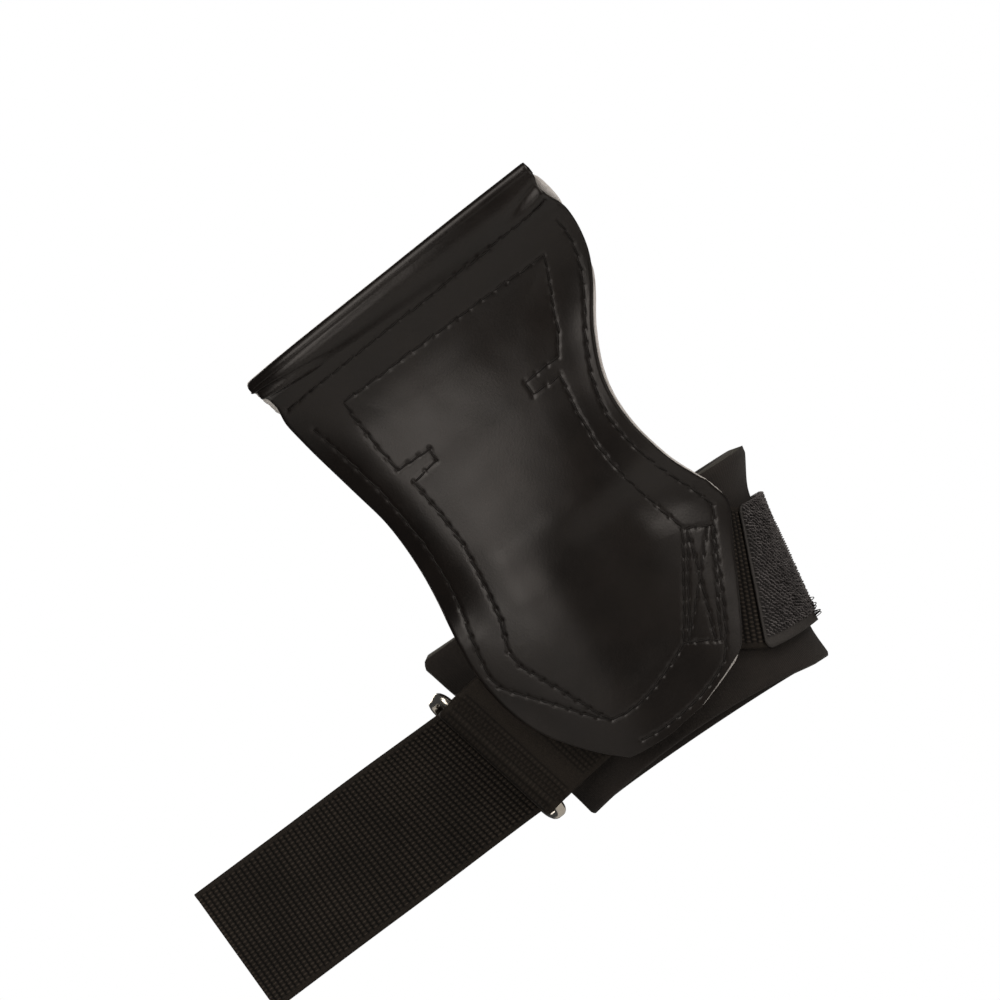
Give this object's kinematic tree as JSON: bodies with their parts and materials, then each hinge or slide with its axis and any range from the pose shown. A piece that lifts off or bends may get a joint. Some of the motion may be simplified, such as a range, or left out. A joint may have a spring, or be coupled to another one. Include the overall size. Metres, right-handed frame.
{
  "type": "fitness training glove",
  "caption": "Leather palm guard on a padded wrist cuff, closed by an elastic hook-and-loop strap through a wire ring, shown in its worn form with the strap pulled open.",
  "frame": {"origin": "middle of the wrist hollow, halfway up the cuff", "axes": "+Z along the wrist towards the fingers, -Y out of the palm, +X towards the thumb"},
  "size_m": [0.1882, 0.0879, 0.1538],
  "materials": {
    "palm_leather": "smooth semi-gloss",
    "palm_backing": "raw suede",
    "wrist_cuff": "matt knit on foam",
    "elastic_strap": "ribbed webbing",
    "hook_patch": "hook tape",
    "ring_tab": "ribbed webbing",
    "wire_ring": "bright nickel plate"
  },
  "bodies": {
    "root": {"palm_leather": "palm_leather", "palm_backing": "palm_backing", "wrist_cuff": "wrist_cuff", "elastic_strap": "elastic_strap", "hook_patch": "hook_patch", "ring_tab": "ring_tab", "wire_ring": "wire_ring"}
  },
  "joints": []
}
